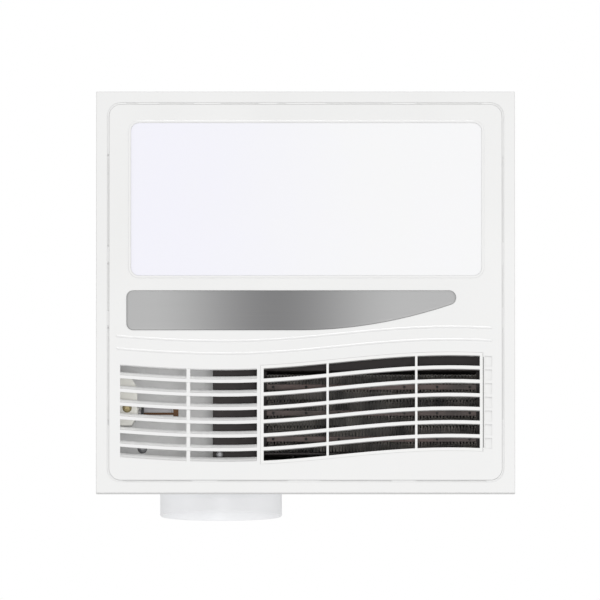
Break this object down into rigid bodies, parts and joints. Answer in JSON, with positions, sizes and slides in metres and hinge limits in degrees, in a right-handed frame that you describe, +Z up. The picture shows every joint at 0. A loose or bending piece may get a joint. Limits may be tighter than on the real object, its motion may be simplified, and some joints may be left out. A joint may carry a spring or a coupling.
{
  "type": "bathroom ceiling heater",
  "caption": "Ceiling-recessed bathroom heater: square white face plate with an opal lamp panel, a metal trim plate, curved inlet and warm-air grilles, a sheet housing and a round duct collar.",
  "frame": {"origin": "centre of the ceiling cut-out, in the plane of the ceiling surface that the housing flange lies on", "axes": "+Z up into the ceiling as installed, the face looks down along -Z; seen from the room +X is to the right and +Y points from the lamp to the grilles and the duct collar"},
  "size_m": [0.34, 0.3364, 0.1886],
  "materials": {
    "white_plastic": "satin moulded white plastic",
    "grille_white": "heat-resistant white plastic, satin",
    "opal": "opal diffusing acrylic",
    "brushed_trim": "brushed along its length",
    "galvanised": "galvanised sheet with a soft spangle",
    "steel": "zinc-plated steel",
    "aluminium": "bare aluminium",
    "black_plastic": "heat-resistant black plastic",
    "dark_rubber": "matt rubber",
    "foam": "closed-cell foam",
    "collar_plastic": "translucent polypropylene",
    "grey_plastic": "moulded plastic",
    "ivory_plastic": "moulded ivory plastic",
    "brass": "brass",
    "brown_brass": "aged brass",
    "tray_white": "white reflector paint",
    "board_white": "white solder resist on an aluminium core",
    "phosphor": "phosphor",
    "board_green": "green solder resist"
  },
  "bodies": {
    "root": {"ceiling_frame": "white_plastic", "frame_gasket": "foam", "frame_screws": "steel", "housing": "galvanised", "end_panels": "galvanised", "panel_rivets": "aluminium", "mounting_brackets": "steel", "bracket_bolts": "steel", "hanger_brackets": "steel", "light_tray": "tray_white", "led_boards": "board_white", "led_chips": "phosphor", "lamp_driver": "white_plastic", "air_box": "galvanised", "chamber_walls": "galvanised", "blower_scroll": "grey_plastic", "inlet_ring": "grey_plastic", "scroll_lid": "galvanised", "blower_motor": "steel", "motor_grommets": "dark_rubber", "motor_screws": "steel", "damper_motor": "steel", "duct_collar": "collar_plastic", "collar_seal": "foam", "collar_screws": "steel", "heater_frame": "black_plastic", "heater_cover": "black_plastic", "cover_screw": "steel", "heater_screws": "steel", "ptc_tubes": "aluminium", "ptc_fins": "aluminium", "ptc_end_caps": "black_plastic", "heater_terminals": "brass", "thermal_cutout": "black_plastic", "sensor_bracket": "ivory_plastic", "sensor_probe": "brown_brass", "bracket_screw": "brass", "earth_screw": "steel", "control_box": "galvanised", "control_lid": "galvanised", "control_board": "board_green", "terminal_block": "white_plastic", "cable_gland": "black_plastic", "gland_cap": "black_plastic"},
    "cover": {"front_cover": "white_plastic", "outlet_grille": "grille_white", "grille_screws": "steel", "lamp_diffuser": "opal", "lens_clips": "steel", "trim_plate": "brushed_trim", "cover_hangers": "steel"},
    "fan": {"blower_wheel": "grey_plastic", "wheel_hub": "grey_plastic", "motor_shaft": "steel", "wheel_clip": "dark_rubber"},
    "diverter": {"diverter_flap": "galvanised", "diverter_axle": "steel", "flap_seals": "foam"},
    "backdraft": {"backdraft_flap": "white_plastic", "backdraft_pin": "steel"}
  },
  "joints": [
    {"name": "cover_drop", "type": "slide", "parent": "root", "child": "cover", "axis": [0, 0, -1], "range_m": [0, 0.045]},
    {"name": "fan_spin", "type": "hinge", "parent": "root", "child": "fan", "pos_m": [0.024, -0.046, 0.1], "axis": [0, 0, 1], "continuous": true},
    {"name": "diverter_turn", "type": "hinge", "parent": "root", "child": "diverter", "pos_m": [0, 0.135, 0.062], "axis": [1, 0, 0], "range_deg": [0, 90]},
    {"name": "backdraft_swing", "type": "hinge", "parent": "root", "child": "backdraft", "pos_m": [-0.0689, 0.1512, 0.15455], "axis": [1, 0, 0], "range_deg": [0, 45]}
  ]
}
